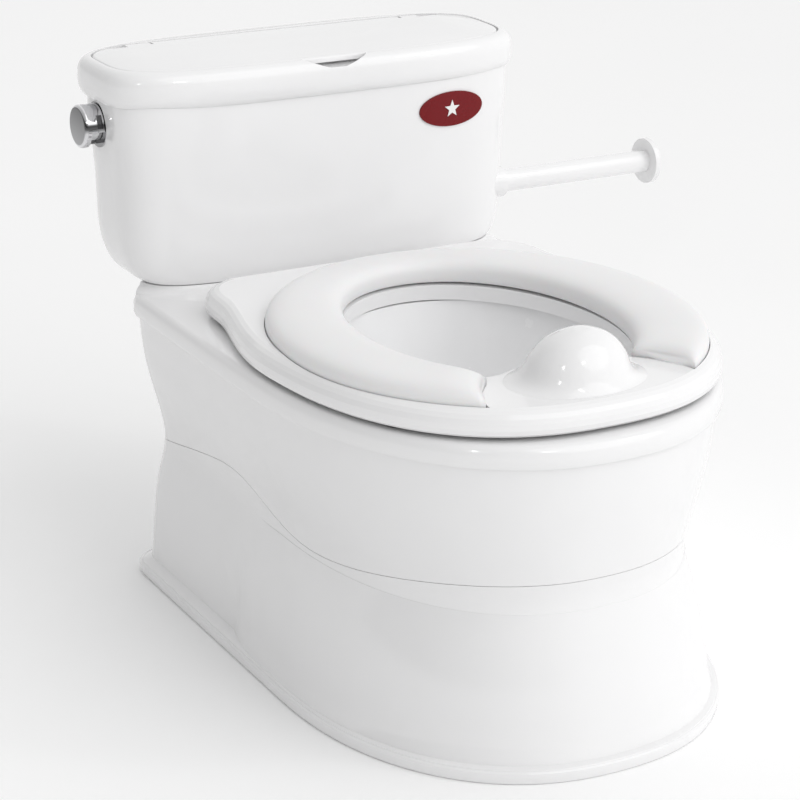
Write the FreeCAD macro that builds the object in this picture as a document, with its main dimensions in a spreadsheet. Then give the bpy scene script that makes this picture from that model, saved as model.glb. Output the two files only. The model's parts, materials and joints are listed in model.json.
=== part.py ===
"""Potty training chair shaped like a small toilet: a parametric FreeCAD document.

Millimetres. +Z is up and z = 0 is the floor, -Y is the front, x = 0 is the middle plane of the bowl.
"""
import FreeCAD, Part
import math
import os

from FreeCAD import Placement, Rotation, Vector

doc = FreeCAD.newDocument("PottyChair")
sheet = doc.addObject("Spreadsheet::Sheet", "Dimensions")

DIMENSIONS = [
    ("Moulded wall", "wall", 3.0),
    ("Gap between two moulded shells", "seam_gap", 0.35),
    ("Floor outline half width", "floor_half", 140.0),
    ("Floor outline, where the front curve starts", "floor_mid", -103.0),
    ("Floor outline, reach of the front curve", "floor_reach", 175.0),
    ("Waist half width", "waist_half", 121.7),
    ("Waist, where the front curve starts", "waist_mid", -77.0),
    ("Waist, reach of the front curve", "waist_reach", 173.0),
    ("Waist height", "waist_level", 101.0),
    ("Rim half width", "rim_half", 146.2),
    ("Rim, where the front curve starts", "rim_mid", -63.0),
    ("Rim, reach of the front curve", "rim_reach", 200.5),
    ("Deck height", "deck_level", 208.0),
    ("Foot flange height", "flange_high", 8.0),
    ("Rear of the floor outline", "floor_rear", 136.0),
    ("Rear of the deck", "deck_rear", 120.0),
    ("Tank half width", "tank_half", 146.0),
    ("Tank half depth", "tank_deep", 49.0),
    ("Tank middle", "tank_mid", 138.5),
    ("Tank underside", "tank_base", 212.6),
    ("Tank top edge", "tank_top", 346.0),
    ("Lid half width", "lid_half", 154.9),
    ("Lid half depth", "lid_deep", 57.3),
    ("Lid middle", "lid_mid", 142.7),
    ("Lid skirt edge", "lid_base", 332.0),
    ("Lid top", "lid_top", 356.0),
    ("Flap inset from the lid outline", "flap_inset", 8.5),
    ("Flap thickness", "flap_thick", 4.0),
    ("Seat half width", "seat_half", 143.0),
    ("Seat, where the front curve starts", "seat_mid", -72.4),
    ("Seat, reach of the front curve", "seat_reach", 181.2),
    ("Seat underside", "seat_base", 211.0),
    ("Seat thickness", "seat_thick", 16.0),
    ("Depth of the recess for the seat pad", "recess_deep", 6.0),
    ("Seat hinge axis, y", "hinge_back", 56.0),
    ("Seat hinge axis, z", "hinge_level", 217.0),
    ("Cushion half width", "cushion_half", 134.0),
    ("Cushion middle", "cushion_mid", -109.0),
    ("Cushion height", "cushion_high", 15.0),
    ("Opening half width", "opening_half", 81.0),
    ("Opening half length", "opening_long", 107.0),
    ("Pot depth", "pot_deep", 92.0),
    ("Splash guard height", "guard_high", 32.0),
    ("Handle axis, y", "handle_back", 146.5),
    ("Handle axis, z", "handle_level", 314.0),
    ("Handle radius", "handle_radius", 14.5),
    ("Handle shaft radius", "shaft_radius", 3.5),
    ("Handle crank length", "crank_long", 14.0),
    ("Paper holder axis, y", "holder_back", 111.6),
    ("Paper holder axis, z", "holder_level", 247.5),
    ("Paper holder rod radius", "rod_radius", 7.9),
    ("Paper holder rod length", "rod_long", 152.0),
    ("Paper holder disc radius", "disc_radius", 16.3),
    ("Paper holder disc thickness", "disc_thick", 4.0),
    ("Holder socket length", "socket_long", 32.0),
    ("Cell radius", "cell_radius", 7.25),
    ("Cell length", "cell_long", 50.5),
    ("Screw shank radius", "screw_radius", 2.0),
    ("Screw head radius", "head_radius", 3.8),
    ("Badge half width", "badge_half", 26.0),
    ("Badge half height", "badge_high", 12.0),
]

for row, (words, alias, number) in enumerate(DIMENSIONS, start=1):
    sheet.set(f"A{row}", words)
    sheet.set(f"B{row}", str(number))
    sheet.setAlias(f"B{row}", alias)
doc.recompute()

UP = Vector(0, 0, 1)
RIGHT = Vector(1, 0, 0)
BACK = Vector(0, 1, 0)
nodes = []


def dim(alias):
    """A driving dimension from the sheet."""
    return float(sheet.get(alias))


def publish(obj, label):
    """Label an object as one of the assembly's nodes."""
    obj.Label = label
    nodes.append(obj)
    return obj


def feature(label, shape):
    """A node whose shape no primitive or sketch gives."""
    obj = doc.addObject("Part::Feature", label)
    obj.Shape = shape
    obj.Placement = Placement()
    return publish(obj, label)


def turned(direction):
    """The rotation that takes +Z to a direction."""
    return Rotation(UP, direction)


def cylinder(name, radius, height, at, direction=UP):
    """A Part::Cylinder whose radius and height are expressions on the sheet."""
    obj = doc.addObject("Part::Cylinder", name)
    obj.setExpression("Radius", radius)
    obj.setExpression("Height", height)
    obj.Placement = Placement(at, turned(direction))
    return obj


def box(name, length, width, height, at):
    """A Part::Box whose sides are expressions on the sheet."""
    obj = doc.addObject("Part::Box", name)
    obj.setExpression("Length", length)
    obj.setExpression("Width", width)
    obj.setExpression("Height", height)
    obj.Placement = Placement(at, Rotation())
    return obj


def cut(name, base, tool):
    obj = doc.addObject("Part::Cut", name)
    obj.Base = base
    obj.Tool = tool
    return obj


def fuse(name, shapes):
    obj = doc.addObject("Part::MultiFuse", name)
    obj.Shapes = shapes
    obj.Refine = True
    return obj


def rod(radius, length, at, direction=UP):
    return Part.makeCylinder(radius, length, at, direction)


def block(low, high):
    size = Vector(*high) - Vector(*low)
    return Part.makeBox(size.x, size.y, size.z, Vector(*low))


def superellipse(half_x, half_y, power, start, end, count):
    """Points on a superellipse about the origin, from one angle to another."""
    points = []
    for step in range(count + 1):
        angle = start + (end - start) * step / count
        c = math.cos(angle)
        s = math.sin(angle)
        x = half_x * math.copysign(abs(c) ** (2.0 / power), c)
        y = half_y * math.copysign(abs(s) ** (2.0 / power), s)
        points.append((x, y))
    return points


def oval(half_x, half_y, mid_y, z, power=2.0, count=48):
    """A closed smooth superellipse wire in a horizontal plane."""
    points = superellipse(half_x, half_y, power, 0.0, 2.0 * math.pi, count)[:-1]
    curve = Part.BSplineCurve()
    curve.interpolate([Vector(x, mid_y + y, z) for x, y in points], PeriodicFlag=True)
    return Part.Wire([curve.toShape()])


def bowl_outline(half, mid, reach, rear_half, rear, z, power=2.25, corner=24.0):
    """The bowl's closed outline: a curved front, two straight sides and a rear with round corners."""
    arc = superellipse(half, reach, power, math.pi, 2.0 * math.pi, 24)
    front = Part.BSplineCurve()
    front.interpolate([Vector(x, mid + y, z) for x, y in arc],
                      InitialTangent=Vector(0, -1, 0), FinalTangent=Vector(0, 1, 0))
    edges = [front.toShape()]
    side_end = Vector(rear_half, rear - corner, z)
    rear_start = Vector(rear_half - corner, rear, z)
    turn = corner * (1.0 - math.sqrt(0.5))
    edges.append(Part.LineSegment(Vector(half, mid, z), side_end).toShape())
    edges.append(Part.Arc(side_end, Vector(rear_half - turn, rear - turn, z), rear_start).toShape())
    edges.append(Part.LineSegment(rear_start, Vector(corner - rear_half, rear, z)).toShape())
    edges.append(Part.Arc(Vector(corner - rear_half, rear, z), Vector(turn - rear_half, rear - turn, z),
                          Vector(-rear_half, rear - corner, z)).toShape())
    edges.append(Part.LineSegment(Vector(-rear_half, rear - corner, z), Vector(-half, mid, z)).toShape())
    return Part.Wire(edges)


def loft(wires, ruled=False):
    return Part.makeLoft(wires, True, ruled)


# ---- bowl: one outer skin, hollowed, then split along the wavy seam -------------------------------

FLOOR = (dim("floor_half"), dim("floor_mid"), dim("floor_reach"), dim("floor_half") - 2.5, dim("floor_rear"))
WAIST = (dim("waist_half"), dim("waist_mid"), dim("waist_reach"), dim("waist_half"), dim("deck_rear") + 5.0)
RIM = (dim("rim_half") - 3.0, dim("rim_mid"), dim("rim_reach") - 3.0, dim("rim_half") - 4.5, dim("deck_rear"))
# height, share of the way from the floor outline to the waist
FOOT_STEPS = [(5.0, 0.12), (10.5, 0.19), (15.0, 0.25), (28.0, 0.34), (50.0, 0.46), (76.0, 0.72)]
# height above the waist, share of the way from the waist to the rim
FLARE_STEPS = [(22.0, 0.20), (40.0, 0.48), (57.0, 0.72), (74.0, 0.88), (90.0, 0.97)]
REAR_PINCH = 7.0
WALL = dim("wall")
WAIST_Z = dim("waist_level")
DECK_Z = dim("deck_level")
BAND_Z = WAIST_Z + 93.0


def between(low, high, share):
    return tuple(a + (b - a) * share for a, b in zip(low, high))


def bowl_section(numbers, z, inward=0.0, pinch=0.0):
    half, mid, reach, rear_half, rear = numbers
    return bowl_outline(half - inward - pinch, mid, reach - inward, rear_half - inward - pinch,
                        rear - inward, z)


def bowl_skin(inward):
    """The bowl's skin from the foot to the underside of the rim band, moved inward by a wall."""
    wires = []
    for z, share in FOOT_STEPS:
        wires.append(bowl_section(between(FLOOR, WAIST, share), z, inward, REAR_PINCH * (1.0 - share) ** 1.5))
    wires.append(bowl_section(WAIST, WAIST_Z, inward))
    for rise, share in FLARE_STEPS:
        wires.append(bowl_section(between(WAIST, RIM, share), WAIST_Z + rise, inward))
    wires.append(bowl_section(RIM, BAND_Z + 1.0, inward))
    return loft(wires)


def foot_bulb(inward):
    """The rounder front of the foot, which stands proud of the flat rear sides."""
    wires = []
    for z, share in FOOT_STEPS + [(WAIST_Z - 4.0, 0.96)]:
        half, mid, reach, _, _ = between(FLOOR, WAIST, share)
        half = half - inward - 0.4 * share
        points = superellipse(half, reach - inward - 0.4 * share, 2.25, math.pi, 2.0 * math.pi, 24)
        points += superellipse(half, 128.0 - inward, 4.0, 0.0, math.pi, 24)[1:-1]
        curve = Part.BSplineCurve()
        curve.interpolate([Vector(x, mid + y, z) for x, y in points], PeriodicFlag=True)
        wires.append(Part.Wire([curve.toShape()]))
    return loft(wires)


def seam_tool(rise):
    """Everything below the wavy seam between foot and body."""
    level = WAIST_Z + rise
    crest = [(-330, 0), (-120, 0), (-80, 1), (-55, 6), (-30, 14), (-10, 18), (25, 15), (70, 6), (180, 1)]
    curve = Part.BSplineCurve()
    curve.interpolate([Vector(-190, y, level + z) for y, z in crest])
    corners = [Vector(-190, 180, level + 1), Vector(-190, 180, -20), Vector(-190, -330, -20),
               Vector(-190, -330, level)]
    edges = [curve.toShape()] + [Part.makeLine(a, b) for a, b in zip(corners, corners[1:])]
    return Part.Face(Part.Wire(edges)).extrude(Vector(380, 0, 0))


POSTS = [(-98.0, 78.0), (98.0, 78.0), (-70.0, -200.0), (70.0, -200.0)]
POST_RADIUS = 6.0
POST_TOP = WAIST_Z - 7.0
SHANK = dim("screw_radius")
HEAD = dim("head_radius")
SCREW_SEAT = 6.0
COVER = 2.5


def make_foot():
    flange_low = loft([bowl_section(FLOOR, 0.0, 1.0), bowl_section(FLOOR, 1.5), bowl_section(FLOOR, 7.0),
                       bowl_section(FLOOR, dim("flange_high"), 1.0)], ruled=True)
    lip = loft([bowl_section(FLOOR, 6.5, 0.6), bowl_section(FLOOR, dim("flange_high") + 0.6, 1.6),
                bowl_section(between(FLOOR, WAIST, 0.45), 14.0, 4.0, 3.0)], ruled=True)
    hollow = bowl_skin(WALL).fuse(foot_bulb(WALL))
    well = loft([bowl_section(FLOOR, -1.0, 9.0), bowl_section(FLOOR, 11.0, 11.0)], ruled=True)
    outer = bowl_skin(0.0).fuse([foot_bulb(0.0), flange_low, lip])
    foot = outer.cut(hollow).cut(well).common(seam_tool(0.0))
    ledge = loft([bowl_section(FLOOR, COVER, 7.0), bowl_section(FLOOR, COVER + 2.5, 7.0)], ruled=True)
    ledge = ledge.cut(loft([bowl_section(FLOOR, 0.0, 18.0), bowl_section(FLOOR, 8.0, 18.0)], ruled=True))
    foot = foot.fuse(ledge)
    for x, y in POSTS:
        foot = foot.fuse(rod(POST_RADIUS, POST_TOP - COVER, Vector(x, y, COVER)))
        wall_x = math.copysign(150.0, x)
        rib = block((min(x, wall_x), y - 1.5, COVER), (max(x, wall_x), y + 1.5, POST_TOP - 10.0))
        foot = foot.fuse(rib.common(bowl_skin(1.0)))
    for x, y in POSTS:
        foot = foot.cut(rod(HEAD + 0.4, POST_TOP - SCREW_SEAT + 2.0, Vector(x, y, -2.0)))
        foot = foot.cut(rod(SHANK + 0.2, 20.0, Vector(x, y, POST_TOP - 12.0)))
    return foot


LUGS = [-84.0, 84.0]
LUG_HALF = 6.0
HINGE = Vector(0, dim("hinge_back"), dim("hinge_level"))
HINGE_RADIUS = 2.5
TANK_POSTS = [(-95.0, 108.0), (95.0, 108.0)]


POT_HALF = dim("opening_half") + 14.0
POT_LONG = dim("opening_long") + 3.0
POT_MID = dim("cushion_mid") + 4.0
POT_LIP = 6.0


def tank_bed(spread, z):
    """One level of the raised bed that the tank stands on."""
    return oval(133.0 + spread, 47.5 + spread, 135.0, z, 4.2)


def make_body():
    skin = bowl_skin(0.0)
    rim_rear = dim("rim_half") - 1.5
    band_numbers = (dim("rim_half"), dim("rim_mid"), dim("rim_reach"), rim_rear, dim("deck_rear") + 1.0)
    top = DECK_Z
    band = loft([bowl_section(band_numbers, BAND_Z, 0.8), bowl_section(band_numbers, BAND_Z + 2.0),
                 bowl_section(band_numbers, top - 6.0), bowl_section(band_numbers, top - 3.0, 0.9),
                 bowl_section(band_numbers, top - 1.0, 2.6), bowl_section(band_numbers, top, 5.0)], ruled=True)
    bed = loft([tank_bed(9.0, top - 2.0), tank_bed(7.5, top), tank_bed(3.0, top + 1.6), tank_bed(1.0, top + 4.0)])
    bed = bed.common(loft([bowl_section(band_numbers, top - 3.0, 1.2), bowl_section(band_numbers, top + 9.0, 1.2)],
                          ruled=True))
    hollow = bowl_skin(WALL)
    upper = loft([bowl_section(RIM, BAND_Z - 4.0, WALL + 2.0), bowl_section(RIM, top - WALL, WALL + 4.0)],
                 ruled=True)
    body = skin.fuse([band, bed]).cut(hollow.fuse(upper)).cut(seam_tool(dim("seam_gap")))
    for x, y in POSTS:
        body = body.fuse(rod(POST_RADIUS, top - WALL - POST_TOP, Vector(x, y, POST_TOP)))
    for x in LUGS:
        body = body.fuse(rod(5.0, 2 * LUG_HALF, Vector(x - LUG_HALF, HINGE.y, HINGE.z), RIGHT))
        body = body.fuse(block((x - LUG_HALF, HINGE.y - 5.0, top - 1.0), (x + LUG_HALF, HINGE.y + 5.0, HINGE.z)))
        body = body.cut(rod(HINGE_RADIUS, 4 * LUG_HALF, Vector(x - 2 * LUG_HALF, HINGE.y, HINGE.z), RIGHT))
    for x, y in POSTS:
        body = body.cut(rod(SHANK, 16.0, Vector(x, y, POST_TOP - 1.0)))
    for x, y in TANK_POSTS:
        body = body.cut(rod(SHANK + 0.2, 30.0, Vector(x, y, top - 12.0)))
    mouth = loft([oval(POT_HALF - 1.0, POT_LONG - 1.0, POT_MID, top - 12.0),
                  oval(POT_HALF - 1.0, POT_LONG - 1.0, POT_MID, top + 12.0)], ruled=True)
    return body.cut(mouth)


def make_pot():
    """A removable bowl that hangs by its lip in the mouth of the deck."""
    deep = dim("pot_deep")

    def bowl(inward, extra):
        wires = []
        for share, size in [(0.0, 1.0), (0.15, 0.985), (0.4, 0.94), (0.7, 0.86), (0.9, 0.74), (1.0, 0.58)]:
            half = (POT_HALF - 3.0) * size - inward
            long = (POT_LONG - 3.0) * size - inward
            wires.append(oval(half, long, POT_MID, DECK_Z + extra - (deep - inward + extra) * share, 2.1))
        return loft(wires)

    lip = loft([oval(POT_HALF + POT_LIP, POT_LONG + POT_LIP, POT_MID, DECK_Z),
                oval(POT_HALF + POT_LIP, POT_LONG + POT_LIP, POT_MID, DECK_Z + 2.0)], ruled=True)
    pot = lip.fuse(bowl(0.0, 0.0)).cut(bowl(2.4, 6.0))
    return pot


feature("base_shell", make_foot())
feature("body_shell", make_body())
feature("pot", make_pot())


PADS = [(-104.0, 40.0), (104.0, 40.0), (-88.0, -165.0), (88.0, -165.0)]
PAD_RADIUS = 10.0


def make_cover():
    """The flat plate that closes the foot; its underside is the floor plane."""
    plate = loft([bowl_section(FLOOR, 0.0, 9.6), bowl_section(FLOOR, COVER, 9.6)], ruled=True)
    for x, y in POSTS:
        plate = plate.cut(rod(HEAD + 0.4, 12.0, Vector(x, y, -4.0)))
    for x, y in PADS:
        plate = plate.cut(rod(PAD_RADIUS, 1.5, Vector(x, y, 0.0)))
    return plate


feature("bottom_cover", make_cover())
feature("foot_pads", Part.makeCompound([rod(PAD_RADIUS, 1.5, Vector(x, y, 0.0)) for x, y in PADS]))


def screw(at, direction, length, head=2.6):
    """A pan-head screw: at is the seat of its head, and its shank runs along direction."""
    shank = rod(SHANK, length, at, direction)
    cap = rod(HEAD, head, at - direction * head, direction)
    slot = Part.makeBox(HEAD * 3, 1.0, 1.0, Vector(-HEAD * 1.5, -0.5, -0.5))
    slot.Placement = Placement(at - direction * head, turned(direction))
    return cap.fuse(shank).cut(slot)


feature("body_screws", Part.makeCompound(
    [screw(Vector(x, y, POST_TOP - SCREW_SEAT), UP, 20.0) for x, y in POSTS]))


# ---- tank ----------------------------------------------------------------------------------------

TANK = (dim("tank_half"), dim("tank_deep"), dim("tank_mid"))
TANK_Z = dim("tank_base")
TANK_TOP = dim("tank_top")
# height above the tank's underside, inset of the sides, inset of the back, forward step of the front
TANK_STEPS = [(0.0, 14.0, 15.0, 2.4), (3.0, 9.6, 10.0, 2.2), (8.0, 6.4, 6.4, 1.9), (16.0, 3.6, 3.4, 1.4),
              (30.0, 1.4, 1.2, 0.8), (60.0, 0.4, 0.2, 0.3), (TANK_TOP - TANK_Z, 0.0, 0.0, 0.0)]


def tank_skin(inward, lift=0.0):
    wires = []
    half, deep, mid = TANK
    for rise, side, rear, front in TANK_STEPS:
        back = mid + deep - rear - inward
        fore = mid - deep - front + inward
        wires.append(oval(half - side - inward, (back - fore) / 2, (back + fore) / 2,
                          TANK_Z + rise + lift, 4.2))
    return loft(wires)


HOLDER = Vector(0, dim("holder_back"), dim("holder_level"))
HANDLE = Vector(0, dim("handle_back"), dim("handle_level"))
TANK_REAR = TANK[2] + TANK[1]
SPEAKER = Vector(66.0, TANK_REAR, 262.0)
SPEAKER_RADIUS = 20.0
BATTERY = Vector(-30.0, TANK_REAR, 262.0)
BAY_HALF_X = 31.0
BAY_HALF_Z = 27.0
BAY_DEEP = 20.0
DOOR_MARGIN = 5.0
LID_POSTS = [(-126.0, 165.0), (126.0, 165.0)]


def make_tank():
    tank = tank_skin(0.0).cut(tank_skin(WALL, WALL))
    tank = tank.cut(block((-200, 60, TANK_TOP - 1.0), (200, 230, TANK_TOP + 20)))
    for x, y in TANK_POSTS:
        tank = tank.fuse(rod(5.0, 18.0, Vector(x, y, TANK_Z + 1.0)))
        tank = tank.cut(rod(SHANK, 30.0, Vector(x, y, TANK_Z - 12.0)))
    for x, y in LID_POSTS:
        post = rod(5.5, TANK_TOP - TANK_Z - 3.0, Vector(x, y, TANK_Z + 2.0)).common(tank_skin(1.0))
        tank = tank.fuse(post).cut(rod(SHANK, 16.0, Vector(x, y, TANK_TOP - 15.0)))
    tank = tank.cut(rod(dim("rod_radius") + 3.0, 60.0, Vector(100.0, HOLDER.y, HOLDER.z), RIGHT))
    tank = tank.cut(rod(dim("handle_radius") + 0.8, 60.0, Vector(-170.0, HANDLE.y, HANDLE.z), RIGHT))
    bay = block((BATTERY.x - BAY_HALF_X, TANK_REAR - 12, BATTERY.z - BAY_HALF_Z),
                (BATTERY.x + BAY_HALF_X, TANK_REAR + 12, BATTERY.z + BAY_HALF_Z))
    recess = block((BATTERY.x - BAY_HALF_X - DOOR_MARGIN, TANK_REAR - 1.6, BATTERY.z - BAY_HALF_Z - DOOR_MARGIN),
                   (BATTERY.x + BAY_HALF_X + DOOR_MARGIN, TANK_REAR + 9, BATTERY.z + BAY_HALF_Z + DOOR_MARGIN))
    tank = tank.cut(bay).cut(recess)
    for row in range(-2, 3):
        half = math.sqrt((SPEAKER_RADIUS - 4.0) ** 2 - (row * 6.0) ** 2)
        slot = block((SPEAKER.x - half, TANK_REAR - 12, SPEAKER.z + row * 6.0 - 1.2),
                     (SPEAKER.x + half, TANK_REAR + 12, SPEAKER.z + row * 6.0 + 1.2))
        tank = tank.cut(slot)
    return tank


feature("tank_shell", make_tank())
feature("tank_screws", Part.makeCompound(
    [screw(Vector(x, y, DECK_Z - WALL), UP, 20.0) for x, y in TANK_POSTS]))


# ---- lid of the tank -----------------------------------------------------------------------------

LID = (dim("lid_half"), dim("lid_deep"), dim("lid_mid"))
LID_Z = dim("lid_base")
LID_TOP = dim("lid_top")
FLAP_INSET = dim("flap_inset")
FLAP_THICK = dim("flap_thick")
FLAP_Z = LID_TOP - FLAP_THICK
FLAP_AXIS = Vector(0, LID[2] + LID[1] - FLAP_INSET - 9.0, LID_TOP - 2.6)
KNUCKLE = 2.6
FLAP_PIN = 1.2
FLAP_PINS_X = [-96.0, 96.0]
TRAY_HALF = 118.0
TRAY_DEEP = 32.0
TRAY_FLOOR = 296.0


def lid_oval(inset, z, drop=0.0):
    return oval(LID[0] - inset, LID[1] - inset, LID[2] + drop, z, 3.6)


def make_lid():
    rim = loft([lid_oval(2.8, LID_Z), lid_oval(1.2, LID_Z + 2.5), lid_oval(0.3, LID_Z + 6.0), lid_oval(0.0, LID_Z + 11.0),
                lid_oval(0.5, LID_TOP - 7.0), lid_oval(2.4, LID_TOP - 3.0), lid_oval(4.6, LID_TOP - 1.2),
                lid_oval(7.2, LID_TOP - 0.1)])
    cavity = loft([lid_oval(7.6, LID_Z - 1.0), lid_oval(7.6, TANK_TOP - 1.0)], ruled=True)
    lid = rim.cut(cavity).cut(tank_skin(-0.5))
    recess = loft([lid_oval(FLAP_INSET, FLAP_Z - 0.6), lid_oval(FLAP_INSET, LID_TOP + 4)], ruled=True)
    lid = lid.cut(recess.cut(block((-200, FLAP_AXIS.y + KNUCKLE + 0.5, 300), (200, 260, 400))))
    trough = rod(KNUCKLE + 0.7, 220.0, Vector(-110.0, FLAP_AXIS.y, FLAP_AXIS.z), RIGHT)
    lid = lid.cut(trough)
    for x in FLAP_PINS_X:
        tab = block((x - 3.0, FLAP_AXIS.y - 2.4, FLAP_Z - 2.0), (x + 3.0, FLAP_AXIS.y + KNUCKLE + 0.6, LID_TOP - 0.6))
        lid = lid.fuse(tab)
        lid = lid.cut(rod(FLAP_PIN, 26.0, Vector(x - 13.0, FLAP_AXIS.y, FLAP_AXIS.z), RIGHT))
    mouth = loft([oval(TRAY_HALF, TRAY_DEEP, LID[2] - 4.0, 330.0, 4.0),
                  oval(TRAY_HALF, TRAY_DEEP, LID[2] - 4.0, 370.0, 4.0)], ruled=True)
    lid = lid.cut(mouth)
    for x, y in LID_POSTS:
        lid = lid.cut(rod(SHANK + 0.2, 40.0, Vector(x, y, LID_TOP - 30.0)))
        lid = lid.cut(rod(HEAD + 0.3, 20.0, Vector(x, y, FLAP_Z - 3.4)))
    scoop = oval(24.0, 8.2, LID[2] - LID[1] + 8.8, LID_TOP - 6.0)
    return lid.cut(Part.Face(scoop).extrude(Vector(0, 0, 20)))


def make_flap():
    inset = FLAP_INSET + 0.9
    plate = loft([lid_oval(inset, FLAP_Z), lid_oval(inset, LID_TOP - 1.2), lid_oval(inset + 0.5, LID_TOP - 0.4),
                  lid_oval(inset + 1.6, LID_TOP)], ruled=True)
    plate = plate.common(block((-200, 0, 300), (200, FLAP_AXIS.y, 400)))
    plate = plate.fuse(rod(KNUCKLE, 218.0, Vector(-109.0, FLAP_AXIS.y, FLAP_AXIS.z), RIGHT))
    for x in FLAP_PINS_X:
        gap = block((x - 3.5, FLAP_AXIS.y - 4.6, 300), (x + 3.5, 260, 400))
        plate = plate.cut(gap)
        plate = plate.cut(rod(FLAP_PIN + 0.08, 27.0, Vector(x - 13.5, FLAP_AXIS.y, FLAP_AXIS.z), RIGHT))
    for side in (-1, 1):
        ends = sorted((side * 112.0, side * 200.0))
        plate = plate.cut(block((ends[0], FLAP_AXIS.y - 6.0, 300), (ends[1], 260, 400)))
    return plate


def make_tray():
    """An open box for wipes that fills the mouth of the lid."""
    mid = LID[2] - 4.0
    edge = FLAP_Z - 0.6
    outer = loft([oval(TRAY_HALF - 7.0, TRAY_DEEP - 3.0, mid, TRAY_FLOOR, 4.0),
                  oval(TRAY_HALF - 0.6, TRAY_DEEP - 0.6, mid, edge, 4.0)], ruled=True)
    inner = loft([oval(TRAY_HALF - 9.0, TRAY_DEEP - 5.0, mid, TRAY_FLOOR + 2.0, 4.0),
                  oval(TRAY_HALF - 2.6, TRAY_DEEP - 2.6, mid, edge + 1.0, 4.0)], ruled=True)
    return outer.cut(inner)


feature("lid_frame", make_lid())
feature("lid_flap", make_flap())
feature("wipe_tray", make_tray())
feature("lid_screws", Part.makeCompound(
    [screw(Vector(x, y, FLAP_Z - 3.4), UP * -1, 13.0, 2.4) for x, y in LID_POSTS]))
feature("flap_hinge_pins", Part.makeCompound(
    [rod(FLAP_PIN, 24.0, Vector(x - 12.0, FLAP_AXIS.y, FLAP_AXIS.z), RIGHT) for x in FLAP_PINS_X]))


# ---- seat ----------------------------------------------------------------------------------------

SEAT_Z = dim("seat_base")
SEAT_TOP = SEAT_Z + dim("seat_thick")
RECESS_Z = SEAT_TOP - dim("recess_deep")
CUSHION_MID = dim("cushion_mid")
EAR_HALF = 104.0
EAR_BACK = HINGE.y + 4.6


def seat_outline(inward, z):
    """A round front ring that runs by two S-curves into the straight rear edge between the ears."""
    half = dim("seat_half") - inward
    mid = dim("seat_mid")
    arc = superellipse(half, dim("seat_reach") - inward, 2.4, math.pi, 2.0 * math.pi, 24)
    ear = EAR_HALF - inward
    back = EAR_BACK - inward
    right = [(136.5 - inward, -33.0), (129.5 - inward, -7.0), (125.6 - inward, 12.0), (124.0 - inward, 30.0),
             (119.5 - inward, 44.0 - 0.5 * inward), (111.5 - inward, 54.0 - 0.8 * inward)]
    left = [(-x, y) for x, y in reversed(right)]
    points = [(x, mid + y) for x, y in arc] + right + [(ear, back - 2.0)]
    side = Part.BSplineCurve()
    side.interpolate([Vector(x, y, z) for x, y in [(-ear, back - 2.0)] + left + points])
    rear = [Vector(ear, back - 2.0, z), Vector(ear - 2.0, back, z), Vector(2.0 - ear, back, z),
            Vector(-ear, back - 2.0, z)]
    return Part.Wire([side.toShape()] + [Part.makeLine(a, b) for a, b in zip(rear, rear[1:])])


# inset of the ring's outline and height above its underside, from the underside to the top
RING_STEPS = [(2.6, 0.0), (0.8, 1.6), (0.0, 4.5), (0.2, 8.0), (1.2, 11.0), (3.0, 13.4), (5.4, 15.0), (8.4, 16.0)]
# height above the ring's top, half width and half length of the splash guard
GUARD_STEPS = [(-3.0, 52.0, 33.5), (0.0, 46.0, 33.0), (1.5, 41.5, 32.0), (4.0, 37.0, 30.5), (8.0, 33.5, 28.5),
               (14.0, 30.5, 26.0), (20.0, 26.5, 22.5), (25.0, 21.5, 18.2), (28.6, 15.5, 13.0), (31.0, 9.0, 7.8),
               (32.0, 4.4, 3.8)]
GUARD_MID = -209.0
GUARD_LEAN = 0.125
OPENING_FRONT = -171.0


def guard_skin(inward):
    """The splash guard: a dome that flares out where it meets the front of the ring."""
    return loft([oval(half - inward, long - inward, GUARD_MID - GUARD_LEAN * rise, SEAT_TOP + rise - inward)
                 for rise, half, long in GUARD_STEPS])


def pad_outline(grow, low, high):
    """The horseshoe that the pad covers, straight up from low to high; the splash guard is outside it."""
    outer = loft([oval(dim("cushion_half") + grow, 141.0 + grow, CUSHION_MID + 1.5, low, 2.05),
                  oval(dim("cushion_half") + grow, 141.0 + grow, CUSHION_MID + 1.5, high, 2.05)], ruled=True)
    mouth = loft([oval(72.0 - grow, 60.0 - grow, -236.0, low - 1.0),
                  oval(72.0 - grow, 60.0 - grow, -236.0, high + 1.0)], ruled=True)
    return outer.cut(mouth)


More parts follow.
